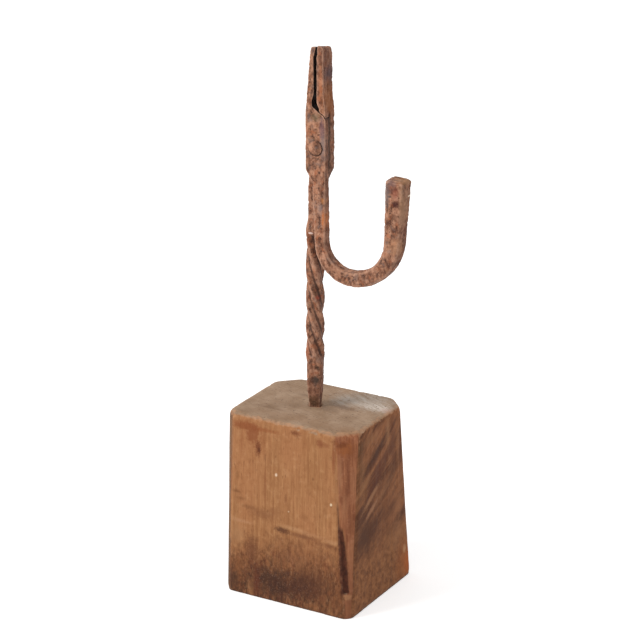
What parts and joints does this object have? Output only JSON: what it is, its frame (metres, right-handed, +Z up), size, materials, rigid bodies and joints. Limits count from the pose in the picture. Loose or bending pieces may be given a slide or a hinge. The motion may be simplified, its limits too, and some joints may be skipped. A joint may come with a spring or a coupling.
{
  "type": "rushlight holder",
  "caption": "Table rushlight nip: twisted iron stem in a tapered wooden block, with a riveted jaw arm that a hooked counterweight closes.",
  "frame": {"origin": "centre of the flat foot of the wooden block, in the plane it stands on", "axes": "+Z up along the stem, -Y the broad front face of the block on whose side the jaw arm is lapped, +X the side that the hooked counterweight hangs on"},
  "size_m": [0.0801, 0.0594, 0.2525],
  "materials": {
    "wood": "bare softwood, rubbed and stained, darker towards the foot",
    "iron": "wrought iron with a fine brown rust, pitted and dull"
  },
  "bodies": {
    "holder": {"base_block": "wood", "stem": "iron", "pivot_rivet": "iron"},
    "arm": {"jaw_arm": "iron"}
  },
  "joints": [
    {"name": "jaw_pivot", "type": "hinge", "parent": "holder", "child": "arm", "pos_m": [0.003, -0.0049, 0.2075], "axis": [0, -1, 0], "range_deg": [0, 95]}
  ]
}
